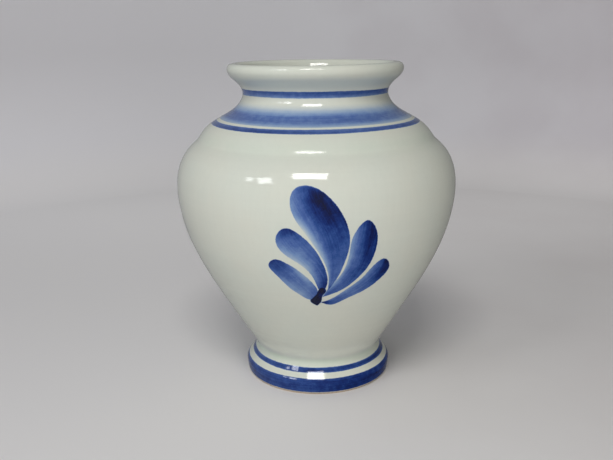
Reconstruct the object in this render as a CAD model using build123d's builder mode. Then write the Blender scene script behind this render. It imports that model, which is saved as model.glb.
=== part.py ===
from build123d import *
import os
from math import cos, hypot, radians, sin

os.makedirs("parts", exist_ok=True)

# ---------------------------------------------------------------- driving dimensions, mm
HEIGHT = 165.0  # table to lip crest
GLAZE = 0.5  # thickness of the glaze coats
COBALT = 0.3  # depth of the painted cobalt in the outer coat
LIP_CREST_R = 41.3  # radius of the highest ring of the lip

FOOT_RING_R = 31.0  # inner radius of the ring that the vase stands on
FOOT_RECESS = 3.0  # how far the underside is turned away inside that ring
RING_ROUND = 1.0  # rounding of the recess's edge
BARE_EDGE = 1.3  # the wiped strip of bare clay above the table
FLOOR_Z = 9.5  # glazed floor inside

FOOT_TOP = 15.5  # luting joint between foot and belly, at the waist of the cove
SEAM_Z = 127.0  # luting joint between belly and shoulder, at the visible kink
NECK_Z = 150.5  # luting joint between shoulder and lip, at the waist of the neck

# Painted bands as (lowest, highest) heights
FOOT_BAND = (BARE_EDGE, 8.6)
FOOT_LINE = (10.8, 13.3)
SHOULDER_LINE = (135.4, 137.2)
SHOULDER_WASH = (137.9, 147.0)
NECK_BAND = (149.6, 152.9)

# ---------------------------------------------------------------- outside of the glaze
# Each stretch is one smooth curve of (radius, height) points; stretches meet at a corner.
FOOT_CURVE = [
    (38.2, 0.0), (38.8, 2.0), (39.1, 4.5), (39.2, 6.6), (37.9, 8.7),
    (36.0, 10.8), (34.4, 13.0), (33.3, FOOT_TOP), (34.2, 18.0), (35.9, 21.2),
]
BELLY_CURVE = [
    (35.9, 21.2), (41.5, 30.0), (51.2, 46.0), (60.2, 62.0), (67.2, 78.0), (71.3, 94.0),
    (72.0, 105.0), (70.5, 114.0), (66.9, 121.0), (60.8, SEAM_Z),
]
NECK_CURVE = [
    (60.8, SEAM_Z), (56.3, 133.0), (47.0, 139.0), (39.0, 145.0), (36.9, NECK_Z),
    (39.2, 155.0), (43.4, 159.0), (44.6, 162.0), (43.6, 164.3), (LIP_CREST_R, HEIGHT),
]
OUTSIDE = [FOOT_CURVE, BELLY_CURVE, NECK_CURVE]

# Inside of the vase, from the edge of its floor up to the lip crest
INSIDE_CURVE = [
    (20.0, FLOOR_Z), (26.0, 12.0), (30.0, 20.0), (38.8, 34.0), (50.2, 54.0), (59.0, 71.0),
    (65.0, 88.0), (66.4, 103.0), (64.6, 113.0), (60.6, 119.5), (54.0, 125.8), (48.5, 131.5),
    (38.0, 138.5), (33.0, 144.0), (31.9, NECK_Z), (34.6, 156.5), (37.3, 160.5), (39.2, 164.2),
    (LIP_CREST_R, HEIGHT),
]

# ---------------------------------------------------------------- painted flower, mm
# A stroke is (left edge, tip, right edge): up the left edge from its root, round the tip
# and back down the right edge, as (sideways, height) on the upright plane that touches
# the belly in front of the flower.
ROOT = (2.0, 62.0)
STROKES = {
    "lower_left": (
        [(-1.0, 59.4), (-4.6, 59.3), (-8.2, 61.5), (-13.0, 65.4), (-19.9, 73.2), (-22.9, 78.6)],
        (-20.4, 81.3),
        [(-15.8, 80.4), (-9.3, 76.1), (-3.2, 69.7), (-0.8, 65.6)],
    ),
    "upper_left": (
        [(1.0, 62.5), (-0.6, 66.0), (-3.6, 73.4), (-10.0, 80.1), (-17.2, 85.8), (-19.3, 92.0)],
        (-15.6, 96.8),
        [(-8.0, 93.8), (-0.5, 84.7), (3.0, 76.2), (3.7, 68.0)],
    ),
    "centre": (
        [(3.6, 64.0), (4.0, 72.9), (-0.5, 85.5), (-7.9, 96.9), (-12.6, 107.0), (-10.8, 114.0)],
        (-5.9, 115.8),
        [(4.4, 111.0), (10.3, 103.3), (13.8, 90.4), (11.7, 80.2), (7.7, 70.4)],
    ),
    "upper_right": (
        [(1.2, 60.8), (4.3, 66.4), (8.2, 71.3), (12.9, 82.0), (14.3, 90.6), (17.3, 96.6)],
        (21.6, 99.8),
        [(25.4, 95.6), (26.2, 88.0), (23.3, 78.2), (17.5, 70.4), (9.4, 64.0)],
    ),
    "lower_right": (
        [(0.5, 57.9), (3.5, 58.9), (11.8, 64.5), (20.3, 71.5), (25.2, 77.3)],
        (30.2, 79.6),
        [(32.6, 75.5), (29.4, 69.4), (21.5, 63.2), (12.0, 58.7), (4.8, 56.0)],
    ),
    "dab": (
        [(-0.9, 55.6), (-4.2, 58.9), (-1.5, 62.6), (-0.3, 65.6)],
        (1.6, 66.6),
        [(3.3, 65.0), (1.6, 61.4), (1.1, 58.4)],
    ),
}
# Three flowers, each brushed by hand: (azimuth, size, lean), in degrees round the axis
# from the front and to the left of upright.
FLOWERS = {
    "flower_front": (0.0, 1.0, 0.0),
    "flower_left": (-103.0, 1.16, 13.0),
    "flower_right": (126.0, 0.96, -6.0),
}
FLOWER_ZONE = (46.0, 126.0)  # heights that hold every flower
FLOWER_REACH = 80.0  # how far a flower's cutter runs out from the axis, past the belly


# ---------------------------------------------------------------- outline geometry
def normal_at(before, here, after):
    """Unit normal of an outline at a point, on the right of its direction of travel."""
    back = hypot(here[0] - before[0], here[1] - before[1])
    ahead = hypot(after[0] - here[0], after[1] - here[1])
    dr = (here[0] - before[0]) / back**2 + (after[0] - here[0]) / ahead**2
    dz = (here[1] - before[1]) / back**2 + (after[1] - here[1]) / ahead**2
    size = hypot(dr, dz)
    return dz / size, -dr / size


def moved(points, distance, first, last):
    """An outline moved along its normals; its two ends move by (dr, dz) times distance."""
    shifted = [(points[0][0] + distance * first[0], points[0][1] + distance * first[1])]
    for before, here, after in zip(points, points[1:], points[2:], strict=False):
        nr, nz = normal_at(before, here, after)
        shifted.append((here[0] + distance * nr, here[1] + distance * nz))
    shifted.append((points[-1][0] + distance * last[0], points[-1][1] + distance * last[1]))
    return shifted


def outside(depth):
    """The outside stretches, sunk by depth and still joined end to end."""
    joined = [point for curve in OUTSIDE for point in curve[:-1]] + [OUTSIDE[-1][-1]]
    sunk = moved(joined, -depth, first=(1, 0), last=(0, 1))
    stretches = []
    start = 0
    for curve in OUTSIDE:
        end = start + len(curve) - 1
        stretches.append(sunk[start : end + 1])
        start = end
    return stretches


def inside(depth):
    """The inside curve, sunk into the wall by depth."""
    return moved(INSIDE_CURVE, depth, first=(0, -1), last=(0, -1))


def cut_to(lowest, highest):
    """Keeps only what the current sketch of the profile holds between two heights."""
    with Locations((0, lowest)):
        Rectangle(HEIGHT, highest - lowest, align=(Align.MIN, Align.MIN), mode=Mode.INTERSECT)


def coat(outer_depth, inner_depth, lowest, highest):
    """A sketch of the layer between two depths under the outside, cut to a band."""
    outer, inner = outside(outer_depth), outside(inner_depth)
    with BuildSketch(Plane.XZ) as layer:
        with BuildLine():
            for stretch in outer:
                Spline(*stretch)
            for stretch in inner:
                Spline(*stretch)
            Line(outer[0][0], inner[0][0])
            Line(outer[-1][-1], inner[-1][-1])
        make_face()
        cut_to(lowest, highest)
    return layer.sketch


def clay(lowest, highest):
    """A sketch of the clay wall between two heights, under both glaze coats."""
    outer, inner = outside(GLAZE), inside(GLAZE)
    ring_edge = (FOOT_RING_R, 0)
    recess_edge = (FOOT_RING_R - FOOT_RECESS, FOOT_RECESS)
    with BuildSketch(Plane.XZ) as wall:
        with BuildLine():
            for stretch in outer:
                Spline(*stretch)
            Spline(*inner)
            Line(inner[0], (0, inner[0][1]))
            Line((0, inner[0][1]), (0, FOOT_RECESS))
            Line((0, FOOT_RECESS), recess_edge)
            Line(recess_edge, ring_edge)
            Line(ring_edge, outer[0][0])
        make_face()
        cut_to(lowest, highest)
    return wall.sketch


# ---------------------------------------------------------------- clay body
with BuildPart() as clay_foot:
    add(clay(0.0, FOOT_TOP))
    revolve(axis=Axis.Z)
    lowest_edges = clay_foot.edges().filter_by(GeomType.CIRCLE).group_by(Axis.Z)[0]
    fillet(lowest_edges.sort_by(SortBy.RADIUS)[0], RING_ROUND)
clay_foot.part.label = "clay_foot"
export_step(clay_foot.part, "parts/clay_foot.step")

with BuildPart() as clay_belly:
    add(clay(FOOT_TOP, SEAM_Z))
    revolve(axis=Axis.Z)
clay_belly.part.label = "clay_belly"
export_step(clay_belly.part, "parts/clay_belly.step")

with BuildPart() as clay_shoulder:
    add(clay(SEAM_Z, NECK_Z))
    revolve(axis=Axis.Z)
clay_shoulder.part.label = "clay_shoulder"
export_step(clay_shoulder.part, "parts/clay_shoulder.step")

with BuildPart() as clay_lip:
    add(clay(NECK_Z, HEIGHT))
    revolve(axis=Axis.Z)
clay_lip.part.label = "clay_lip"
export_step(clay_lip.part, "parts/clay_lip.step")

# ---------------------------------------------------------------- cobalt bands
BANDS = {
    "foot_band": FOOT_BAND,
    "foot_line": FOOT_LINE,
    "shoulder_line": SHOULDER_LINE,
    "shoulder_wash": SHOULDER_WASH,
    "neck_band": NECK_BAND,
}
band_parts = []
for band_name, (band_bottom, band_top) in BANDS.items():
    with BuildPart() as band:
        add(coat(0.0, COBALT, band_bottom, band_top))
        revolve(axis=Axis.Z)
    band.part.label = band_name
    export_step(band.part, f"parts/{band_name}.step")
    band_parts.append(band.part)

# ---------------------------------------------------------------- cobalt flowers
with BuildPart() as flower_skin:
    add(coat(0.0, COBALT, *FLOWER_ZONE))
    revolve(axis=Axis.Z)

# The same layer, but open outwards, so that it cuts the outer coat without sharing its surface
with BuildPart() as flower_room:
    add(coat(-GLAZE, COBALT, *FLOWER_ZONE))
    revolve(axis=Axis.Z)


def brushed(point, size, lean):
    """A point of the drawn flower after this flower's own size and lean about its root."""
    across, up = (point[0] - ROOT[0]) * size, (point[1] - ROOT[1]) * size
    turn = radians(lean)
    return (
        ROOT[0] + across * cos(turn) - up * sin(turn),
        ROOT[1] + across * sin(turn) + up * cos(turn),
    )


flower_hollows = []
for flower_name, (azimuth, size, lean) in FLOWERS.items():
    facing = radians(azimuth)
    touching = Plane(
        origin=(0, 0, 0),
        x_dir=(cos(facing), sin(facing), 0),
        z_dir=(sin(facing), -cos(facing), 0),
    )
    with BuildPart() as strokes:
        with BuildSketch(touching):
            for left_edge, tip, right_edge in STROKES.values():
                outline = [*left_edge, tip, *right_edge, left_edge[0]]
                with BuildLine():
                    Spline(*[brushed(point, size, lean) for point in outline])
                make_face()
        extrude(amount=FLOWER_REACH)
    with BuildPart() as flower:
        add(strokes.part)
        add(flower_skin.part, mode=Mode.INTERSECT)
    flower.part.label = flower_name
    export_step(flower.part, f"parts/{flower_name}.step")
    with BuildPart() as hollow:
        add(strokes.part)
        add(flower_room.part, mode=Mode.INTERSECT)
    flower_hollows.append(hollow.part)

# ---------------------------------------------------------------- glaze coats
with BuildPart() as outer_glaze:
    add(coat(0.0, GLAZE, BARE_EDGE, HEIGHT))
    revolve(axis=Axis.Z)
    for hollow_part in band_parts + flower_hollows:
        add(hollow_part, mode=Mode.SUBTRACT)
outer_glaze.part.label = "outer_glaze"
export_step(outer_glaze.part, "parts/outer_glaze.step")

with BuildPart() as inner_glaze:
    with BuildSketch(Plane.XZ):
        with BuildLine():
            top_side, clay_side = inside(0.0), inside(GLAZE)
            Spline(*top_side)
            Spline(*clay_side)
            Line(top_side[0], (0, FLOOR_Z))
            Line((0, FLOOR_Z), (0, FLOOR_Z - GLAZE))
            Line((0, FLOOR_Z - GLAZE), clay_side[0])
            Line(clay_side[-1], top_side[-1])
        make_face()
    revolve(axis=Axis.Z)
inner_glaze.part.label = "inner_glaze"
export_step(inner_glaze.part, "parts/inner_glaze.step")
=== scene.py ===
from math import cos, pi, radians, sin

import bpy
import numpy as np
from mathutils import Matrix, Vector


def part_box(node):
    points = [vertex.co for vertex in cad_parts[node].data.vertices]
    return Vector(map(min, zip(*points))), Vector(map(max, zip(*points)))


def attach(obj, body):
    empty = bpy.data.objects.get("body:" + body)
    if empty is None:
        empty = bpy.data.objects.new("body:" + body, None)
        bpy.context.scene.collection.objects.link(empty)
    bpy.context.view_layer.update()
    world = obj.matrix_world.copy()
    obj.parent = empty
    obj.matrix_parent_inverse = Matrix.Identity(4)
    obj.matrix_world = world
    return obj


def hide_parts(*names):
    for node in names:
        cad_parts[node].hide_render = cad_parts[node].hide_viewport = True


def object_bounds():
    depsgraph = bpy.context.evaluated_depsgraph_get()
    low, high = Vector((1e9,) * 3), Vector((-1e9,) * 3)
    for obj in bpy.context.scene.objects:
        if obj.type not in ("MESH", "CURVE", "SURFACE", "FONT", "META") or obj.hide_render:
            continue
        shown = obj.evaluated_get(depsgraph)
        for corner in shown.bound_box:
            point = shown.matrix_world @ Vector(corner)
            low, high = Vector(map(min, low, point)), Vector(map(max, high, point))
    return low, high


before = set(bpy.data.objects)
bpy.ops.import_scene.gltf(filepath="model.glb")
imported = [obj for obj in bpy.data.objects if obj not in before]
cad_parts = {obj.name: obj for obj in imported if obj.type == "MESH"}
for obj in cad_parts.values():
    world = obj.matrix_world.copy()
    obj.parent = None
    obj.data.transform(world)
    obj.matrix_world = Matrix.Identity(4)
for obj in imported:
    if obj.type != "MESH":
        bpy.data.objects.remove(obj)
CAD_LOW, CAD_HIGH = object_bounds()

# ---------------------------------------------------------------- the drawing's sizes
DRAWN_HEIGHT = 165.0  # the outline below is drawn in millimetres for a vase this tall
MM = (CAD_HIGH.z - CAD_LOW.z) / DRAWN_HEIGHT  # one drawn millimetre, in metres
HEIGHT = CAD_HIGH.z

GLAZE_DEPTH = 0.5  # thickness of a glaze coat, drawn mm
COBALT_DEPTH = 0.3  # how deep the painted bands lie in the coat, drawn mm
LIP_CREST = (41.3, 165.0)

# Outside, from the table up to the crest of the lip, as (radius, height)
FOOT_CURVE = [
    (38.2, 0.0), (38.8, 2.0), (39.1, 4.5), (39.2, 6.6), (37.9, 8.7),
    (36.0, 10.8), (34.4, 13.0), (33.3, 15.5), (34.2, 18.0), (35.9, 21.2),
]
BELLY_CURVE = [
    (35.9, 21.2), (41.5, 30.0), (51.2, 46.0), (60.2, 62.0), (67.2, 78.0), (71.3, 94.0),
    (72.0, 105.0), (70.5, 114.0), (66.9, 121.0), (60.8, 127.0),
]
NECK_CURVE = [
    (60.8, 127.0), (56.3, 133.0), (47.0, 139.0), (39.0, 145.0), (36.9, 150.5),
    (39.2, 155.0), (43.4, 159.0), (44.6, 162.0), (43.6, 164.3), LIP_CREST,
]
# Inside, from the crest of the lip down to the middle of the floor
INSIDE_CURVE = [
    LIP_CREST, (39.2, 164.2), (37.3, 160.5), (34.6, 156.5), (31.9, 150.5), (33.0, 144.0),
    (38.0, 138.5), (48.5, 131.5), (54.0, 125.8), (60.6, 119.5), (64.6, 113.0), (66.4, 103.0),
    (65.0, 88.0), (59.0, 71.0), (50.2, 54.0), (38.8, 34.0), (30.0, 20.0), (26.0, 12.0),
    (20.0, 9.5),
]
FLOOR_CURVE = [(20.0, 9.5), (10.0, 9.5), (0.05, 9.5)]

# The flower, as (left edge, tip, right edge) of each brush stroke: up the left edge from
# its root, round the tip and down the right edge, in (sideways, height), drawn mm, on the
# upright plane that touches the belly in front of the flower.
ROOT = (2.0, 62.0)
STROKES = {
    "lower_left": (
        [(-1.0, 59.4), (-4.6, 59.3), (-8.2, 61.5), (-13.0, 65.4), (-19.9, 73.2), (-22.9, 78.6)],
        (-20.4, 81.3),
        [(-15.8, 80.4), (-9.3, 76.1), (-3.2, 69.7), (-0.8, 65.6)],
    ),
    "upper_left": (
        [(1.0, 62.5), (-0.6, 66.0), (-3.6, 73.4), (-10.0, 80.1), (-17.2, 85.8), (-19.3, 92.0)],
        (-15.6, 96.8),
        [(-8.0, 93.8), (-0.5, 84.7), (3.0, 76.2), (3.7, 68.0)],
    ),
    "centre": (
        [(3.6, 64.0), (4.0, 72.9), (-0.5, 85.5), (-7.9, 96.9), (-12.6, 107.0), (-10.8, 114.0)],
        (-5.9, 115.8),
        [(4.4, 111.0), (10.3, 103.3), (13.8, 90.4), (11.7, 80.2), (7.7, 70.4)],
    ),
    "upper_right": (
        [(1.2, 60.8), (4.3, 66.4), (8.2, 71.3), (12.9, 82.0), (14.3, 90.6), (17.3, 96.6)],
        (21.6, 99.8),
        [(25.4, 95.6), (26.2, 88.0), (23.3, 78.2), (17.5, 70.4), (9.4, 64.0)],
    ),
    "lower_right": (
        [(0.5, 57.9), (3.5, 58.9), (11.8, 64.5), (20.3, 71.5), (25.2, 77.3)],
        (30.2, 79.6),
        [(32.6, 75.5), (29.4, 69.4), (21.5, 63.2), (12.0, 58.7), (4.8, 56.0)],
    ),
    "dab": (
        [(-0.9, 55.6), (-4.2, 58.9), (-1.5, 62.6), (-0.3, 65.6)],
        (1.6, 66.6),
        [(3.3, 65.0), (1.6, 61.4), (1.1, 58.4)],
    ),
}
# How much cobalt each stroke carries, from 0 to 1 and a little over: one line per share of
# the stroke's length from its root, then four values from its left edge to its right one.
LOADS = {
    "lower_left": [
        (0.00, 0.55, 0.64, 0.70, 0.70),
        (0.25, 0.30, 0.40, 0.56, 0.50),
        (0.50, 0.38, 0.52, 0.56, 0.22),
        (0.75, 0.60, 0.70, 0.70, 0.48),
        (0.92, 0.86, 0.90, 0.90, 0.84),
        (1.00, 0.98, 1.02, 1.02, 0.98),
    ],
    "upper_left": [
        (0.00, 0.85, 0.90, 0.95, 1.05),
        (0.20, 0.40, 0.58, 0.76, 0.84),
        (0.40, 0.10, 0.40, 0.60, 0.70),
        (0.60, 0.20, 0.42, 0.52, 0.56),
        (0.80, 0.44, 0.54, 0.62, 0.68),
        (0.93, 0.66, 0.80, 0.92, 0.92),
        (1.00, 0.86, 0.94, 0.98, 0.98),
    ],
    "centre": [
        (0.00, 0.50, 0.62, 0.66, 0.70),
        (0.15, 0.30, 0.62, 0.62, 0.62),
        (0.30, 0.16, 0.70, 0.70, 0.62),
        (0.45, 0.10, 0.72, 0.78, 0.74),
        (0.58, 0.04, 0.78, 0.88, 0.92),
        (0.72, 0.36, 0.76, 1.14, 1.04),
        (0.84, 0.50, 0.62, 1.22, 0.96),
        (0.93, 0.50, 0.80, 0.94, 0.78),
        (1.00, 0.46, 0.46, 0.52, 0.56),
    ],
    "upper_right": [
        (0.00, 0.50, 0.60, 0.66, 0.74),
        (0.20, 0.22, 0.58, 0.66, 0.62),
        (0.40, 0.28, 0.66, 0.76, 0.74),
        (0.60, 0.30, 0.64, 0.94, 0.92),
        (0.80, 0.42, 0.64, 1.00, 1.02),
        (0.93, 0.72, 0.88, 1.02, 1.04),
        (1.00, 0.94, 0.96, 1.02, 1.02),
    ],
    "lower_right": [
        (0.00, 1.00, 1.00, 1.00, 0.95),
        (0.12, 0.50, 0.62, 0.64, 0.70),
        (0.35, 0.30, 0.50, 0.54, 0.48),
        (0.60, 0.34, 0.58, 0.64, 0.58),
        (0.80, 0.40, 0.66, 0.98, 0.84),
        (0.93, 0.60, 0.76, 1.08, 1.06),
        (1.00, 0.80, 0.88, 1.00, 1.00),
    ],
    "dab": [
        (0.00, 1.20, 1.25, 1.25, 1.20),
        (0.70, 1.10, 1.15, 1.15, 1.10),
        (1.00, 0.90, 0.95, 0.95, 0.90),
    ],
}
# Each flower is brushed again by hand: degrees round the axis from the front, size, and
# degrees that it leans to the left.
FLOWERS = {
    "flower_front": (0.0, 1.0, 0.0),
    "flower_left": (-103.0, 1.16, 13.0),
    "flower_right": (126.0, 0.96, -6.0),
}
# Cobalt across each band, from its lower edge to its upper one
BAND_LOADS = {
    "foot_band": [0.84, 0.86, 0.88, 0.86, 0.82, 0.78],
    "foot_line": [0.60, 0.74, 0.78, 0.72, 0.60],
    "shoulder_line": [0.62, 0.70, 0.66, 0.50],
    "shoulder_wash": [0.22, 0.34, 0.50, 0.58, 0.60, 0.60, 0.54, 0.40, 0.26, 0.14, 0.05, 0.0],
    "neck_band": [0.46, 0.56, 0.66, 0.70, 0.72],
}

# ---------------------------------------------------------------- curves
OUTLINE_STEP = 0.1  # spacing of the worked-out outline, drawn mm
SOFTENING = 0.7  # radius over which glaze rounds off the outline's corners, drawn mm


def smooth_curve(points, step):
    """Points about every step along the natural cubic spline through the given ones."""
    p = np.array(points, float)
    t = np.concatenate([[0.0], np.cumsum(np.linalg.norm(np.diff(p, axis=0), axis=1))])
    h = np.diff(t)
    count = len(p)
    matrix, right = np.eye(count), np.zeros_like(p)
    for i in range(1, count - 1):
        matrix[i, i - 1 : i + 2] = h[i - 1], 2 * (h[i - 1] + h[i]), h[i]
        right[i] = 6 * ((p[i + 1] - p[i]) / h[i] - (p[i] - p[i - 1]) / h[i - 1])
    bend = np.linalg.solve(matrix, right)
    at = np.linspace(0.0, t[-1], max(int(t[-1] / step), 2) + 1)
    i = np.clip(np.searchsorted(t, at, side="right") - 1, 0, count - 2)
    b = ((at - t[i]) / h[i])[:, None]
    a = 1 - b
    span = (h[i] ** 2)[:, None] / 6
    curve = a * p[i] + b * p[i + 1] + span * ((a**3 - a) * bend[i] + (b**3 - b) * bend[i + 1])
    return curve, at, t


def softened(values, reach):
    """A run of values blurred over reach samples, its two ends held."""
    taps = np.exp(-0.5 * (np.arange(-3 * reach, 3 * reach + 1) / reach) ** 2)
    padded = np.pad(values, 3 * reach, mode="reflect", reflect_type="odd")
    return np.convolve(padded, taps / taps.sum(), mode="valid")


def wall_outline():
    """The whole glazed outline, outside then inside: distance along it, radius, height and normal."""
    stretches = [FOOT_CURVE, BELLY_CURVE, NECK_CURVE, INSIDE_CURVE, FLOOR_CURVE]
    runs = [smooth_curve(points, OUTLINE_STEP)[0] for points in stretches]
    joined = np.concatenate([run[:-1] for run in runs[:-1]] + [runs[-1]])
    reach = round(SOFTENING / OUTLINE_STEP)
    r, z = softened(joined[:, 0], reach), softened(joined[:, 1], reach)
    r[-1] = joined[-1, 0]
    along = np.concatenate([[0.0], np.cumsum(np.hypot(np.diff(r), np.diff(z)))])
    dr, dz = np.gradient(r, along), np.gradient(z, along)
    size = np.hypot(dr, dz)
    crest = along[np.argmax(z)]
    return along, r, z, dz / size, -dr / size, crest


ALONG, RADIUS, LEVEL, NORMAL_R, NORMAL_Z, CREST = wall_outline()
OUTER = ALONG <= CREST


def along_at(height):
    """Distance along the outline of a height on the outside, drawn mm."""
    return np.interp(height, LEVEL[OUTER], ALONG[OUTER])


# How far each kind of unevenness of the hand-turned wall stands, drawn mm
OVAL, THREE_SIDED = 0.09, 0.05  # slow waves round the vase
RIB, FINE_RING, WIDE_RING = 0.010, 0.012, 0.02  # what the fingers leave along the outline
EVEN_AT_FOOT, EVEN_AT_FLOOR = 8, 30  # lengths at the outline's two ends over which it fades in


def hand(turn, along):
    """How far the hand-turned wall stands off its true outline, drawn mm."""
    slow = OVAL * np.sin(2 * turn + 0.7 + along / 37) + THREE_SIDED * np.sin(3 * turn - along / 23)
    ribs = RIB * np.sin(along / 0.83 + 1.6 * np.sin(along / 5.1)) * np.sin(along / 13 + turn)
    rings = FINE_RING * np.sin(along / 1.9 + 0.8 * np.sin(turn)) + WIDE_RING * np.sin(along / 4.3)
    fade = np.clip(along / EVEN_AT_FOOT, 0, 1)
    fade = fade * np.clip((ALONG[-1] - along) / EVEN_AT_FLOOR, 0, 1)
    return (slow + ribs + rings) * fade


def on_wall(turn, along, depth):
    """Points, in metres, and unit normals on the wall, depth drawn mm under its surface."""
    r, z = np.interp(along, ALONG, RADIUS), np.interp(along, ALONG, LEVEL)
    nr, nz = np.interp(along, ALONG, NORMAL_R), np.interp(along, ALONG, NORMAL_Z)
    stand = hand(turn, along)
    small = 0.05  # step over which the slope of the unevenness is taken, drawn mm
    rise = (hand(turn, along + small) - hand(turn, along - small)) / (2 * small)
    swing = (hand(turn + small / 10, along) - hand(turn - small / 10, along)) / (small / 5)
    reach = r + (stand - depth) * nr
    level = z + (stand - depth) * nz
    sides, fronts = np.sin(turn), np.cos(turn)
    place = np.stack([reach * sides, -reach * fronts, level], axis=-1) * MM
    out_r, out_z = nr + rise * nz, nz - rise * nr
    spin = -swing / np.maximum(r, 1.0)
    normal = np.stack(
        [out_r * sides + spin * fronts, -out_r * fronts + spin * sides, out_z], axis=-1
    )
    return place, normal / np.linalg.norm(normal, axis=-1, keepdims=True)


# ---------------------------------------------------------------- meshes
COLUMNS = 384
TURNS = np.arange(COLUMNS) * 2 * pi / COLUMNS
SKIN_STEP = 0.75  # row spacing on a visible surface, drawn mm
BACK_STEP = 4.0  # row spacing on a hidden one


def new_piece(name, verts, faces, normals, material):
    """A smooth piece from vertices, faces and one normal per face corner."""
    mesh = bpy.data.meshes.new(name)
    mesh.from_pydata(verts, [], faces)
    mesh.polygons.foreach_set("use_smooth", np.ones(len(mesh.polygons), bool))
    mesh.update()
    mesh.normals_split_custom_set(normals)
    mesh.materials.append(material)
    piece = bpy.data.objects.new(name, mesh)
    bpy.context.scene.collection.objects.link(piece)
    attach(piece, "root")
    return piece


def store(piece, name, values):
    """Keeps one number, or one vector, per vertex for the material to read."""
    kind, field = ("FLOAT", "value") if values.ndim == 1 else ("FLOAT_VECTOR", "vector")
    layer = piece.data.attributes.new(name, kind, "POINT")
    layer.data.foreach_set(field, values.astype(np.float32).ravel())


def rows_between(low, high, depth, step):
    """Rows of the lathe from one cut to another: (distances along per column, depth)."""
    count = max(int(round(abs(np.mean(high) - np.mean(low)) / step)), 1)
    return [(low + (high - low) * k / count, depth) for k in range(count + 1)]


def turned(name, rows, sides, material, closed=True):
    """A piece turned from rows; sides says for each gap between rows which way it faces.

    A side is 1 where the surface faces out of the wall, -1 where it faces into it, and 0
    for an edge. An open run of rows, such as one that ends at the axis, is capped."""
    places, outward = [], []
    for along, depth in rows:
        place, normal = on_wall(TURNS, along, depth)
        places.append(place)
        outward.append(normal)
    verts = np.concatenate(places)
    outward = np.concatenate(outward)
    here = np.arange(COLUMNS)
    ahead = (here + 1) % COLUMNS
    faces, normals = [], []
    for j, side in enumerate(sides):
        k = (j + 1) % len(rows)
        low, high = j * COLUMNS, k * COLUMNS
        quads = np.stack([low + here, low + ahead, high + ahead, high + here], 1)
        faces.append(quads)
        if side:
            normals.append(outward[quads] * side)
        else:
            corner = verts[quads]
            flat = np.cross(corner[:, 2] - corner[:, 0], corner[:, 3] - corner[:, 1])
            flat /= np.maximum(np.linalg.norm(flat, axis=1, keepdims=True), 1e-12)
            normals.append(np.repeat(flat[:, None], 4, axis=1))
    face_list = np.concatenate(faces).tolist()
    normal_list = np.concatenate(normals).reshape(-1, 3).tolist()
    if not closed:
        last = (len(rows) - 1) * COLUMNS
        face_list.append(here[::-1].tolist())
        face_list.append((last + here).tolist())
        first_up = np.array([0.0, 0.0, -1.0 if sides[0] < 0 else 1.0])
        normal_list += [first_up.tolist()] * COLUMNS + [(-first_up).tolist()] * COLUMNS
    return new_piece(name, verts.tolist(), face_list, normal_list, material)


# ---------------------------------------------------------------- material helpers
def new_material(name):
    """A material, its node tree and its Principled shader."""
    material = bpy.data.materials.new(name)
    material.use_nodes = True
    tree = material.node_tree
    return material, tree, tree.nodes["Principled BSDF"]


def add(tree, kind, inputs=None, **settings):
    """A node with its settings, and its inputs set to values or linked to other sockets."""
    node = tree.nodes.new(kind)
    for key, value in settings.items():
        setattr(node, key, value)
    for key, value in (inputs or {}).items():
        if isinstance(value, bpy.types.NodeSocket):
            tree.links.new(value, node.inputs[key])
        else:
            node.inputs[key].default_value = value
    return node


def maths(tree, operation, *values, clamp=False):
    """The result of a math node on numbers or sockets."""
    node = add(tree, "ShaderNodeMath", dict(enumerate(values)), operation=operation)
    node.use_clamp = clamp
    return node.outputs[0]


def noise(tree, vector, scale, detail=2.0, roughness=0.5):
    """A noise value from 0 to 1 at that many bumps per unit of the vector."""
    inputs = {"Vector": vector, "Scale": scale, "Detail": detail, "Roughness": roughness}
    return add(tree, "ShaderNodeTexNoise", inputs).outputs["Fac"]


def remap(tree, value, low, high, to_low, to_high, smooth=True):
    """A value taken from one range to another and held at its ends, softly or not."""
    inputs = {"Value": value, "From Min": low, "From Max": high, "To Min": to_low, "To Max": to_high}
    kind = "SMOOTHSTEP" if smooth else "LINEAR"
    return add(tree, "ShaderNodeMapRange", inputs, interpolation_type=kind).outputs["Result"]


def wavering(tree, value, low, high, swing):
    """A noise value turned into one that wavers either side of zero, by up to a swing."""
    return remap(tree, value, low, high, -swing, swing, False)


def ring_at(tree, height, middle, full, none, most):
    """A value that is most at one height, held for full either way, and gone by none."""
    off = maths(tree, "ABSOLUTE", maths(tree, "SUBTRACT", height, middle))
    return remap(tree, off, full, none, most, 0.0)


def ramp(tree, value, stops):
    """A colour ramp over (place, (r, g, b)) stops."""
    node = add(tree, "ShaderNodeValToRGB", {"Fac": value})
    bar = node.color_ramp
    while len(bar.elements) < len(stops):
        bar.elements.new(0.5)
    for element, (place, colour) in zip(bar.elements, stops, strict=True):
        element.position = place
        element.color = (*colour, 1.0)
    return node.outputs["Color"]


def blend(tree, factor, first, second, mode="MIX"):
    """Two colours mixed."""
    node = add(tree, "ShaderNodeMix", data_type="RGBA", blend_type=mode)
    sockets = (node.inputs[0], node.inputs[6], node.inputs[7])
    for socket, value in zip(sockets, (factor, first, second), strict=True):
        if isinstance(value, bpy.types.NodeSocket):
            tree.links.new(value, socket)
        else:
            socket.default_value = value
    return node.outputs[2]


def scaled(tree, vector, factors):
    """A vector stretched by three factors."""
    inputs = {0: vector, 1: factors}
    return add(tree, "ShaderNodeVectorMath", inputs, operation="MULTIPLY").outputs[0]


# ---------------------------------------------------------------- materials
PER_MM = 1 / MM  # a texture scale of one bump per drawn millimetre
CREAM = (0.632, 0.660, 0.585, 1)
WARM_CREAM = (0.662, 0.660, 0.572, 1)
POOLED = (0.545, 0.640, 0.530, 1)  # greener, where the glaze ran together
LIP_SHADE = (0.40, 0.46, 0.46, 1)  # painted shade under the lip: darker and greyer there
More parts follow.
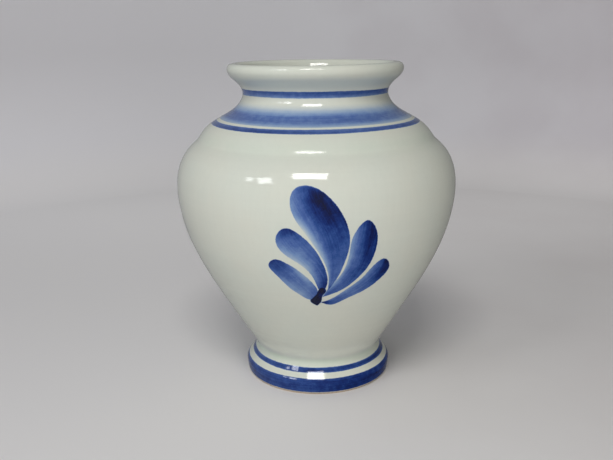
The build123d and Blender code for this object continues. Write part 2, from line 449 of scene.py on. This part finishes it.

# Where the glaze pools, and where shade is painted under the lip, as shares of the vase's height
KINK_AT, KINK_REACH = 0.785, 0.035
COVE_AT, COVE_REACH = 0.095, 0.022
LIP_SHADE_AT, LIP_SHADE_FULL, LIP_SHADE_REACH = 0.948, 0.004, 0.022

SPECK_CELLS = 0.11  # cells across a drawn mm that may hold a pin speck
SPECKLESS = 0.86  # share of them that hold none


def glaze_specks(tree, where):
    """Pin specks: how much each point is darkened by one."""
    inputs = {"Vector": where, "Scale": SPECK_CELLS * PER_MM, "Randomness": 1.0}
    cells = add(tree, "ShaderNodeTexVoronoi", inputs)
    chance = add(tree, "ShaderNodeSeparateColor", {0: cells.outputs["Color"]})
    held = maths(tree, "GREATER_THAN", chance.outputs[0], SPECKLESS)
    size = maths(tree, "MULTIPLY", held, chance.outputs[1])
    core, rim = maths(tree, "MULTIPLY", size, 0.02), maths(tree, "MULTIPLY", size, 0.05)
    speck = remap(tree, cells.outputs["Distance"], core, rim, 0.45, 0.0)
    return maths(tree, "MULTIPLY", speck, maths(tree, "GREATER_THAN", size, 0.2))


def glaze_colour(tree, where):
    """The tin glaze: off-white, greener where it pools, darker and greyer under the lip as painted
    shade, with faint runs, rings and pin specks.
    """
    level = add(tree, "ShaderNodeSeparateXYZ", {0: where}).outputs["Z"]
    height = maths(tree, "DIVIDE", level, HEIGHT)
    patches = remap(tree, noise(tree, where, 0.028 * PER_MM, 3.0), 0.3, 0.7, 0.0, 0.55)
    colour = blend(tree, patches, CREAM, WARM_CREAM)
    kink = ring_at(tree, height, KINK_AT, 0.0, KINK_REACH, 1.0)
    cove = ring_at(tree, height, COVE_AT, 0.0, COVE_REACH, 1.0)
    pools = maths(tree, "ADD", maths(tree, "MULTIPLY", kink, 0.45), cove)
    pools = maths(tree, "MULTIPLY", pools, noise(tree, where, 0.07 * PER_MM, 2.0))
    colour = blend(tree, pools, colour, POOLED)
    # painted shade: the glaze is darkened and greyed in a ring under the lip, where shade falls
    throat = ring_at(tree, height, LIP_SHADE_AT, LIP_SHADE_FULL, LIP_SHADE_REACH, 0.5)
    colour = blend(tree, throat, colour, LIP_SHADE)
    runs = noise(tree, scaled(tree, where, (0.55, 0.55, 0.035)), PER_MM, 3.0, 0.6)
    rings = noise(tree, scaled(tree, where, (0.01, 0.01, 0.9)), PER_MM, 2.0, 0.7)
    runs = remap(tree, runs, 0.3, 0.7, -0.007, 0.007)
    rings = remap(tree, rings, 0.3, 0.7, -0.005, 0.005)
    tone = maths(tree, "ADD", maths(tree, "ADD", runs, rings), 1.0)
    tone = maths(tree, "SUBTRACT", tone, glaze_specks(tree, where))
    grey = add(tree, "ShaderNodeCombineColor", {0: tone, 1: tone, 2: tone}).outputs[0]
    return blend(tree, 1.0, colour, grey, "MULTIPLY")


def glaze_surface(tree, shader, where):
    """The gloss: a hard shine with a faint orange peel and the rings left by turning."""
    peel = noise(tree, where, 0.22 * PER_MM, 2.0, 0.4)
    rings = noise(tree, scaled(tree, where, (0.012, 0.012, 0.55)), PER_MM, 2.0, 0.5)
    peel, rings = maths(tree, "MULTIPLY", peel, 0.7), maths(tree, "MULTIPLY", rings, 0.5)
    relief = maths(tree, "ADD", peel, rings)
    bump = add(tree, "ShaderNodeBump", {"Height": relief, "Strength": 0.10, "Distance": 0.25 * MM})
    tree.links.new(bump.outputs["Normal"], shader.inputs["Normal"])
    rough = remap(tree, noise(tree, where, 0.05 * PER_MM, 3.0), 0.3, 0.7, 0.06, 0.11)
    tree.links.new(rough, shader.inputs["Roughness"])
    shader.inputs["IOR"].default_value = 1.5


def make_glaze():
    """The bare tin glaze."""
    material, tree, shader = new_material("tin_glaze")
    where = add(tree, "ShaderNodeTexCoord").outputs["Object"]
    tree.links.new(glaze_colour(tree, where), shader.inputs["Base Color"])
    glaze_surface(tree, shader, where)
    return material


# What is left of the glaze's own colour under more and more cobalt
COBALT_STOPS = [
    (0.00, (1.000, 1.000, 1.000)),
    (0.16, (0.540, 0.660, 0.940)),
    (0.32, (0.265, 0.405, 0.820)),
    (0.46, (0.110, 0.200, 0.610)),
    (0.58, (0.042, 0.108, 0.440)),
    (0.70, (0.014, 0.046, 0.280)),
    (0.81, (0.009, 0.022, 0.155)),
    (0.91, (0.012, 0.015, 0.066)),
    (1.00, (0.020, 0.024, 0.060)),
]
FULL_LOAD = 1.25  # the load at the last stop
EDGE_RAGGED = 0.08  # how far a stroke's edge wavers, drawn mm
EDGE_BLEED = 0.34  # how far inside its edge a stroke reaches its full load, drawn mm


def make_cobalt():
    """Cobalt in the glaze, from attributes that each painted piece carries.

    load: pigment at a point. below: pigment of the strokes under it. edge: drawn mm to the
    edge of the stroke. stroke: place in the stroke, long and narrow like its brush marks."""
    material, tree, shader = new_material("cobalt_in_glaze")
    where = add(tree, "ShaderNodeTexCoord").outputs["Object"]
    load, below, edge = (
        add(tree, "ShaderNodeAttribute", attribute_name=name).outputs["Fac"]
        for name in ("load", "below", "edge")
    )
    stroke = add(tree, "ShaderNodeAttribute", attribute_name="stroke").outputs["Vector"]
    hairs = wavering(tree, noise(tree, stroke, 1.0, 3.0, 0.65), 0.25, 0.75, 0.10)
    broad = wavering(tree, noise(tree, stroke, 0.35, 2.0, 0.5), 0.3, 0.7, 0.06)
    clouds = wavering(tree, noise(tree, where, 0.30 * PER_MM, 3.0, 0.6), 0.3, 0.7, 0.09)
    grains = wavering(tree, noise(tree, where, 1.6 * PER_MM, 2.0, 0.6), 0.3, 0.7, 0.035)
    brush_marks, mottling = maths(tree, "ADD", hairs, broad), maths(tree, "ADD", clouds, grains)
    thickness = maths(tree, "ADD", maths(tree, "ADD", brush_marks, mottling), 1.0)
    ragged = noise(tree, where, 0.9 * PER_MM, 2.0, 0.6)
    ragged = wavering(tree, ragged, 0.3, 0.7, EDGE_RAGGED)
    inside = remap(tree, maths(tree, "ADD", edge, ragged), 0.0, EDGE_BLEED, 0.0, 1.0)
    laid = maths(tree, "MULTIPLY", maths(tree, "MULTIPLY", load, thickness), inside)
    laid = maths(tree, "DIVIDE", laid, FULL_LOAD, clamp=True)
    under = maths(tree, "DIVIDE", below, FULL_LOAD, clamp=True)
    under = maths(tree, "MULTIPLY", under, maths(tree, "SUBTRACT", 1.0, laid))
    both = maths(tree, "ADD", laid, under, clamp=True)
    kept = ramp(tree, both, COBALT_STOPS)
    colour = blend(tree, 1.0, glaze_colour(tree, where), kept, "MULTIPLY")
    tree.links.new(colour, shader.inputs["Base Color"])
    glaze_surface(tree, shader, where)
    return material


CLAY_STOPS = [(0.25, (0.40, 0.31, 0.23)), (0.55, (0.54, 0.44, 0.34)), (0.8, (0.62, 0.54, 0.44))]
CLAY_DIRT = (0.30, 0.25, 0.20, 1)


def make_clay():
    """Fired clay where the glaze was wiped off: buff, dusty, with grog and a little dirt."""
    material, tree, shader = new_material("bare_clay")
    where = add(tree, "ShaderNodeTexCoord").outputs["Object"]
    grog = noise(tree, where, 1.3 * PER_MM, 3.0, 0.7)
    dirt = noise(tree, where, 0.09 * PER_MM, 4.0, 0.6)
    dirt = remap(tree, dirt, 0.45, 0.75, 0.0, 0.45)
    colour = blend(tree, dirt, ramp(tree, grog, CLAY_STOPS), CLAY_DIRT)
    tree.links.new(colour, shader.inputs["Base Color"])
    rings = noise(tree, scaled(tree, where, (0.3, 0.3, 1.6)), PER_MM, 3.0, 0.6)
    relief = maths(tree, "ADD", maths(tree, "MULTIPLY", grog, 0.6), rings)
    bump = add(tree, "ShaderNodeBump", {"Height": relief, "Strength": 0.5, "Distance": 0.2 * MM})
    tree.links.new(bump.outputs["Normal"], shader.inputs["Normal"])
    tree.links.new(remap(tree, grog, 0.3, 0.7, 0.75, 0.92), shader.inputs["Roughness"])
    return material


GLAZE = make_glaze()
COBALT = make_cobalt()
CLAY = make_clay()

# ---------------------------------------------------------------- cuts between glaze and bands
BANDS = ["foot_band", "foot_line", "shoulder_line", "shoulder_wash", "neck_band"]
EDGE_WANDER = 0.10  # how far a hand-held brush lets a band's edge wander, drawn mm


def cut(height, seed):
    """The edge of a band round the vase: distance along the outline at each column."""
    wander = np.sin(TURNS + 1.7 * seed) + 0.6 * np.sin(3 * TURNS + 2.9 * seed)
    wander = wander + 0.4 * np.sin(7 * TURNS + 4.1 * seed)
    return along_at(height) + EDGE_WANDER * wander


def band_cuts():
    """Lower and upper cut of each band, at the heights where its CAD node lies."""
    cuts = {}
    for i, name in enumerate(BANDS):
        low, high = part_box(name)
        cuts[name] = (cut(low[2] / MM, 2 * i), cut(high[2] / MM, 2 * i + 1))
    start = np.full(COLUMNS, along_at(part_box("outer_glaze")[0][2] / MM))
    cuts["foot_band"] = (start, cuts["foot_band"][1])
    return cuts


CUTS = band_cuts()


# ---------------------------------------------------------------- glaze coats
def make_outer_glaze():
    """The outer coat, with a shallow channel for each painted band."""
    rows, sides = [], []

    def run(low, high, depth, step, side):
        """Adds rows of one stretch, and an edge up to them from the stretch before."""
        if rows:
            sides.append(0)
        stretch = rows_between(low, high, depth, step)
        rows.extend(stretch)
        sides.extend([side] * (len(stretch) - 1))

    top = np.full(COLUMNS, CREST)
    bottom = CUTS["foot_band"][0]
    here = bottom
    for name in BANDS:
        low, high = CUTS[name]
        if name != "foot_band":
            run(here, low, 0.0, SKIN_STEP, 1)
        run(low, high, COBALT_DEPTH, BACK_STEP / 2, 1)
        here = high
    run(here, top, 0.0, SKIN_STEP / 2, 1)
    run(top, bottom, GLAZE_DEPTH, BACK_STEP, -1)
    sides.append(0)
    coat = turned("outer_glaze_coat", rows, sides, GLAZE)
    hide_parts("outer_glaze")


NECK_LENGTH = 22.0  # from the crest down past the neck; below it rows may be wider, drawn mm


def make_inner_glaze():
    """The liner, from the crest of the lip to the middle of the floor."""
    crest, floor = np.full(COLUMNS, CREST), np.full(COLUMNS, ALONG[-1])
    throat = np.full(COLUMNS, CREST + NECK_LENGTH)
    back = rows_between(floor, crest, GLAZE_DEPTH, BACK_STEP)
    front = rows_between(crest, throat, 0.0, SKIN_STEP)[:-1]
    front += rows_between(throat, floor, 0.0, 2 * SKIN_STEP)
    sides = [-1] * (len(back) - 1) + [0] + [1] * (len(front) - 1)
    liner = turned("inner_glaze_liner", back + front, sides, GLAZE, closed=False)
    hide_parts("inner_glaze")


# ---------------------------------------------------------------- painted bands
BAND_STEP = 0.4  # row spacing across a band, drawn mm
NO_EDGE = 10.0  # added to the way up to a band's upper edge where it fades out instead
BAND_BRUSH = (0.05, 0.05, 1.3)  # brush marks per drawn mm: long round the vase, fine up it


def make_band(name, seed):
    """One band that the banding wheel left, with its brush marks round the vase."""
    low, high = CUTS[name]
    front = rows_between(low, high, 0.0, BAND_STEP)
    back = rows_between(high, low, COBALT_DEPTH, BACK_STEP)
    sides = [1] * (len(front) - 1) + [0] + [-1] * (len(back) - 1) + [0]
    band = turned(f"{name}_paint", front + back, sides, COBALT)
    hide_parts(name)
    along = np.concatenate([row[0] for row in front + back])
    count = len(front) + len(back)
    turn, starts, ends = (np.tile(values, count) for values in (TURNS, low, high))
    share = np.clip((along - starts) / (ends - starts), 0, 1)
    profile = BAND_LOADS[name]
    load = np.interp(share, np.linspace(0, 1, len(profile)), profile)
    reload = 1 + 0.07 * np.sin(turn + 1.3 * seed) + 0.04 * np.sin(4 * turn + 2.1 * seed)
    soft_top = NO_EDGE if profile[-1] == 0 else 0.0
    edge = np.minimum(along - starts, ends - along + soft_top)
    radius = np.interp(along, ALONG, RADIUS)
    marks = [radius * np.sin(turn), radius * np.cos(turn), along]
    marks = [values * fine for values, fine in zip(marks, BAND_BRUSH, strict=True)]
    marks[2] = marks[2] + 7 * seed
    store(band, "load", load * reload)
    store(band, "below", np.zeros_like(load))
    store(band, "edge", edge)
    store(band, "stroke", np.stack(marks, 1))


# ---------------------------------------------------------------- painted flowers
STROKE_ROWS, STROKE_COLUMNS = 96, 40
STROKE_LIFT = 0.02  # each stroke stands this much further out than the one before it, drawn mm
STROKE_SINK = 0.15  # how deep a stroke's back lies in the coat, drawn mm
STROKE_STEP = 0.15  # spacing of a stroke's worked-out outline, drawn mm
SPREAD_PASSES = 6  # how often the written loads are averaged with their neighbours
NARROWEST = 0.35  # brush marks narrow with a stroke, down to this share of its greatest width
BELOW_FADE = 0.5  # how far inside its edge a lower stroke shows through fully, drawn mm
BRUSH_DOWN, BRUSH_ACROSS = 0.07, 1.1  # brush marks per drawn mm: long down a stroke, fine across


def brushed(points, size, lean):
    """Drawn points with a flower's own size and lean about its root."""
    turn = radians(lean)
    across, up = (points - ROOT).T * size
    sideways = ROOT[0] + across * cos(turn) - up * sin(turn)
    height = ROOT[1] + across * sin(turn) + up * cos(turn)
    return np.stack([sideways, height], 1)


def resampled(line, shares):
    """Points at those shares of a line's length."""
    along = np.concatenate([[0.0], np.cumsum(np.linalg.norm(np.diff(line, axis=0), axis=1))])
    return np.stack([np.interp(shares * along[-1], along, line[:, k]) for k in (0, 1)], 1)


def stroke_outline(name):
    """The two edges of a stroke from root to tip, and its whole outline."""
    left, tip, right = STROKES[name]
    loop, at, knots = smooth_curve([*left, tip, *right, left[0]], STROKE_STEP)
    top = np.searchsorted(at, knots[len(left)])
    return loop[: top + 1], loop[top:][::-1], loop


def spread(table, shares, across):
    """A stroke's load on its grid, from its few written values, with soft steps."""
    rows = np.array(table)
    columns = np.linspace(0, 1, rows.shape[1] - 1)
    by_row = np.stack([np.interp(shares, rows[:, 0], column) for column in rows[:, 1:].T], 1)
    grid = np.stack([np.interp(across, columns, line) for line in by_row])
    for _ in range(SPREAD_PASSES):
        wide = np.pad(grid, 1, mode="edge")
        grid = (wide[:-2, 1:-1] + wide[2:, 1:-1] + wide[1:-1, :-2] + wide[1:-1, 2:]) / 4
    return grid


def gap_to(points, outline):
    """Distance from each point to an outline."""
    return np.min(np.linalg.norm(points[:, None] - outline[None], axis=2), axis=1)


def inside_of(points, outline):
    """True for each point inside a closed outline."""
    x, y = points.T
    found = np.zeros(len(points), bool)
    for (x0, y0), (x1, y1) in zip(outline, np.roll(outline, -1, axis=0), strict=True):
        crossing = (y0 > y) != (y1 > y)
        if y0 != y1:
            found ^= crossing & (x < (x1 - x0) * (y - y0) / (y1 - y0) + x0)
    return found


def stroke_grid(name):
    """A stroke's flat grid: points, load, distance to the edge, and place in the stroke."""
    left, right, outline = stroke_outline(name)
    shares = (1 - np.cos(np.linspace(0, pi, STROKE_ROWS))) / 2
    across = (1 - np.cos(np.linspace(0, pi, STROKE_COLUMNS))) / 2
    a, b = resampled(left, shares), resampled(right, shares)
    points = a[:, None] * (1 - across[None, :, None]) + b[:, None] * across[None, :, None]
    load = spread(LOADS[name], shares, across)
    flat = points.reshape(-1, 2)
    edge = gap_to(flat, outline)
    width = np.linalg.norm(b - a, axis=1)
    length = np.linalg.norm(np.diff(points[:, STROKE_COLUMNS // 2], axis=0), axis=1).sum()
    down = np.repeat((shares * length)[:, None], STROKE_COLUMNS, axis=1)
    side = (across[None, :] - 0.5) * np.maximum(width[:, None], NARROWEST * width.max())
    return points, load, edge.reshape(load.shape), down, side, outline


def load_at(points, name, grid):
    """The load that a stroke lays at any points, from the nearest point of its grid."""
    places, load, edge, _, _, outline = grid
    found = np.zeros(len(points))
    inside = np.flatnonzero(inside_of(points, outline))
    flat, worth = places.reshape(-1, 2), (load * np.clip(edge / BELOW_FADE, 0, 1)).ravel()
    for i in inside:
        found[i] = worth[np.argmin(((flat - points[i]) ** 2).sum(axis=1))]
    return found


def make_flower(name, seed):
    """Five petals and a dab, each a thin closed piece that follows the belly."""
    azimuth, size, lean = FLOWERS[name]
    order = list(STROKES)
    grids = {stroke: stroke_grid(stroke) for stroke in order}
    verts, faces, normals = [], [], []
    stored = {"load": [], "below": [], "edge": [], "stroke": []}
    here = np.arange(STROKE_ROWS * STROKE_COLUMNS).reshape(STROKE_ROWS, STROKE_COLUMNS)
    rim = np.concatenate([here[0, :-1], here[:-1, -1], here[-1, :0:-1], here[:0:-1, 0]])
    quads = np.stack([here[:-1, :-1], here[:-1, 1:], here[1:, 1:], here[1:, :-1]], -1).reshape(-1, 4)
    for i, stroke in enumerate(order):
        points, load, edge, down, side, _ = grids[stroke]
        flat = points.reshape(-1, 2)
        below = np.zeros(len(flat))
        for other in order[:i]:
            laid = load_at(flat, other, grids[other]) / FULL_LOAD
            below = below + laid - below * laid
        placed = brushed(flat, size, lean)
        along = along_at(placed[:, 1])
        reach = np.interp(along, ALONG, RADIUS)
        turn = np.arcsin(placed[:, 0] / reach) + radians(azimuth)
        front, out = on_wall(turn, along, -STROKE_LIFT * (i + 1))
        back, _ = on_wall(turn, along, STROKE_SINK)
        start = sum(len(part) for part in verts)
        verts += [front, back]
        count = len(flat)
        following = np.roll(rim, -1)
        walls = np.stack([following, rim, rim + count, following + count], 1)
        faces.append(np.concatenate([quads, quads[:, ::-1] + count, walls]) + start)
        normals += [out[quads], -out[quads[:, ::-1]], np.repeat(out[rim][:, None], 4, axis=1)]
        apart = np.full(count, 9.0 * seed + 3.0 * i)
        marks = np.stack([down.ravel() * BRUSH_DOWN, side.ravel() * BRUSH_ACROSS, apart], 1)
        uneven = 1 + 0.05 * np.sin(2.3 * seed + 1.9 * i)
        laid = (load.ravel() * uneven, below * FULL_LOAD, edge.ravel(), marks)
        for parts, values in zip(stored.values(), laid, strict=True):
            parts += [values, values]
    flower = new_piece(
        f"{name}_paint",
        np.concatenate(verts).tolist(),
        np.concatenate(faces).tolist(),
        np.concatenate(normals).reshape(-1, 3).tolist(),
        COBALT,
    )
    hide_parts(name)
    for key, parts in stored.items():
        store(flower, key, np.concatenate(parts))


make_outer_glaze()
make_inner_glaze()
for number, band_name in enumerate(BANDS):
    make_band(band_name, number)
for number, flower_name in enumerate(FLOWERS):
    make_flower(flower_name, number)

for clay_node in ("clay_foot", "clay_belly", "clay_shoulder", "clay_lip"):
    clay_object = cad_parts[clay_node]
    clay_object.data.materials.clear()
    clay_object.data.materials.append(CLAY)

# ---------------------------------------------------------------- floor and backdrop
STAGE_FLAT = 0.50  # radius of the level floor
STAGE_REACH = 0.66  # radius of the upright wall round it
STAGE_TALL = 0.50  # height of that wall
STAGE_SECTORS = 128
STAGE_FLOOR = [(0.02, 0.0), (0.1, 0.0), (0.25, 0.0), (STAGE_FLAT, 0.0)]  # as (radius, height)
SWEEP_STEPS = 17  # rings in the curve from floor to wall
RISE = 0.06  # height over which the paper's colour changes from floor to wall
# The paper's colour from left to right, lying flat and where it rises: darker and warmer on the right
# as painted shade
PAPER_FLAT_SHADED = [(0.0, (0.77, 0.755, 0.765)), (0.5, (0.785, 0.77, 0.765)), (1.0, (0.68, 0.645, 0.64))]
PAPER_RISEN_SHADED = [(0.0, (0.77, 0.76, 0.79)), (0.5, (0.75, 0.745, 0.77)), (1.0, (0.57, 0.535, 0.56))]


def make_paper():
    """Matte paper, with painted shade that makes it a little darker and warmer on the right, and
    cooler where it rises.
    """
    material, tree, shader = new_material("pale_paper")
    where = add(tree, "ShaderNodeTexCoord").outputs["Object"]
    axes = add(tree, "ShaderNodeSeparateXYZ", {0: where})
    across = remap(tree, axes.outputs["X"], -STAGE_REACH, STAGE_REACH, 0.0, 1.0)
    cloud = remap(tree, noise(tree, where, 9.0, 3.0), 0.3, 0.7, -0.06, 0.06)
    place = maths(tree, "ADD", across, cloud, clamp=True)
    # painted shade: both ramps darken the paper towards the right
    flat, risen = ramp(tree, place, PAPER_FLAT_SHADED), ramp(tree, place, PAPER_RISEN_SHADED)
    rise = remap(tree, axes.outputs["Z"], 0.0, RISE, 0.0, 1.0)
    tree.links.new(blend(tree, rise, flat, risen), shader.inputs["Base Color"])
    shader.inputs["Roughness"].default_value = 0.8
    shader.inputs["Specular IOR Level"].default_value = 0.2
    return material


def stage_ring(name, profile, material, capped):
    """A smooth ring round the axis from (radius, height) points, in metres."""
    verts, faces = [], []
    angles = np.arange(STAGE_SECTORS) * 2 * pi / STAGE_SECTORS
    for r, z in profile:
        verts += [(r * sin(a), -r * cos(a), z) for a in angles]
    for j in range(len(profile) - 1):
        for i in range(STAGE_SECTORS):
            low, high = j * STAGE_SECTORS, (j + 1) * STAGE_SECTORS
            k = (i + 1) % STAGE_SECTORS
            faces.append((high + i, high + k, low + k, low + i))
    if capped:
        faces.append(tuple(range(STAGE_SECTORS)))
    mesh = bpy.data.meshes.new(name)
    mesh.from_pydata(verts, [], faces)
    mesh.polygons.foreach_set("use_smooth", np.ones(len(faces), bool))
    mesh.materials.append(material)
    ring = bpy.data.objects.new(name, mesh)
    bpy.context.scene.collection.objects.link(ring)
    return ring


def make_stage():
    """A pale round floor, and a low wall that it sweeps up into."""
    paper = make_paper()
    bend = STAGE_REACH - STAGE_FLAT
    angles = np.linspace(0, pi / 2, SWEEP_STEPS)
    sweep = [(STAGE_FLAT + bend * sin(a), bend * (1 - cos(a))) for a in angles]
    floor = stage_ring("floor", STAGE_FLOOR, paper, True)
    floor.visible_glossy = False
    wall = stage_ring("backdrop", [*sweep, (STAGE_REACH, STAGE_TALL)], paper, False)
    wall.visible_glossy = False
    wall.visible_diffuse = False
    wall.visible_shadow = False


make_stage()


# ---------------------------------------------------------------- light
def aim(thing, target):
    """Turns a lamp or a camera to face a point."""
    thing.rotation_euler = (Vector(target) - thing.location).to_track_quat("-Z", "Y").to_euler()


def area_lamp(name, width, tall, power, place, target):
    """A flat lamp of so many metres and watts that faces a point."""
    lamp = bpy.data.lights.new(name, "AREA")
    lamp.shape = "RECTANGLE"
    lamp.size, lamp.size_y = width, tall
    lamp.energy = power
    holder = bpy.data.objects.new(name, lamp)
    bpy.context.scene.collection.objects.link(holder)
    holder.location = place
    aim(holder, target)
    return holder


def softbox(name, azimuth, elevation, distance, width, tall, power, colour, turned_by=0.0):
    """A lamp that faces the vase, placed in degrees from the front and above the table."""
    a, e = radians(azimuth), radians(elevation)
    middle = Vector((0, 0, HEIGHT / 2))
    place = middle + distance * Vector((sin(a) * cos(e), -cos(a) * cos(e), sin(e)))
    holder = area_lamp(name, width, tall, power, place, middle)
    holder.rotation_euler.rotate_axis("Z", radians(turned_by))
    holder.data.color = colour
    return holder


def table_lamp(name, place, target, width, tall, power, spread):
    """A lamp near the table, its beam narrowed, that neither the camera nor the glaze sees."""
    holder = area_lamp(name, width, tall, power, place, target)
    holder.data.spread = radians(spread)
    holder.visible_glossy = False
    holder.visible_camera = False


WARM_WHITE, SKY_WHITE, SOFT_WHITE = (1.0, 0.985, 0.95), (0.95, 0.97, 1.0), (0.98, 0.98, 1.0)

# Azimuth, elevation, distance, width, height, power, colour and how far it is turned
softbox("ceiling_light", -7, 51, 1.0, 0.39, 0.20, 3.75, WARM_WHITE)
softbox("window", -46, 36, 1.1, 0.20, 0.20, 1.15, SKY_WHITE, 20)
softbox("window_pane", -60, 34, 1.1, 0.10, 0.11, 0.26, SKY_WHITE, 20)
bounce = softbox("bounce", -2, 5, 1.5, 1.3, 0.9, 6.2, SOFT_WHITE)
bounce.visible_glossy = False
# Place, target, width, height, power and how wide its beam spreads, in degrees
table_lamp("wall_wash", (0.0, 0.36, 0.55), (0.0, 0.42, 0.0), 1.3, 0.25, 0.27, 70)
table_lamp("table_glow", (0.15, -0.29, 0.012), (0.0, 0.0, 0.04), 0.5, 0.1, 0.105, 110)

# The room from dim and brown, on the right and in front, to pale, on the left and above
ROOM_STOPS = [(0.0, (0.045, 0.040, 0.038)), (0.5, (0.20, 0.20, 0.20)), (1.0, (0.34, 0.35, 0.37))]
ROOM_FACING = (-0.65, 0.2, 0.3)  # the way towards its pale side
ROOM_CONTRAST = 0.7


def make_room():
    """What surrounds the stage, as the light that it sends in from each direction."""
    world = bpy.data.worlds.new("room")
    bpy.context.scene.world = world
    world.use_nodes = True
    tree = world.node_tree
    direction = add(tree, "ShaderNodeTexCoord").outputs["Generated"]
    inputs = {0: direction, 1: ROOM_FACING}
    lit = add(tree, "ShaderNodeVectorMath", inputs, operation="DOT_PRODUCT").outputs["Value"]
    shade = remap(tree, lit, -ROOM_CONTRAST, ROOM_CONTRAST, 0.0, 1.0, False)
    background = tree.nodes["Background"]
    tree.links.new(ramp(tree, shade, ROOM_STOPS), background.inputs["Color"])
    background.inputs["Strength"].default_value = 1.0


make_room()

# ---------------------------------------------------------------- camera
CAMERA_BACK = 379 / DRAWN_HEIGHT * HEIGHT  # level distance from the axis
CAMERA_UP = 178.7 / DRAWN_HEIGHT * HEIGHT
CAMERA_SIDE = -5.45 / DRAWN_HEIGHT * HEIGHT
CAMERA_PITCH = 15.0  # degrees down
CAMERA_ROLL = 0.8  # degrees: the real vase leans a little, and here the camera does
CAMERA_LENS, CAMERA_SENSOR = 43.0, 36.0

camera_data = bpy.data.cameras.new("camera")
camera_data.lens = CAMERA_LENS
camera_data.sensor_width = CAMERA_SENSOR
camera = bpy.data.objects.new("camera", camera_data)
bpy.context.scene.collection.objects.link(camera)
camera.location = (CAMERA_SIDE, -CAMERA_BACK, CAMERA_UP)
camera.rotation_euler = (radians(90 - CAMERA_PITCH), 0, 0)
camera.rotation_euler.rotate_axis("Z", radians(-CAMERA_ROLL))
bpy.context.scene.camera = camera

bpy.context.scene.view_settings.view_transform = "Standard"
bpy.context.scene.view_settings.look = "None"
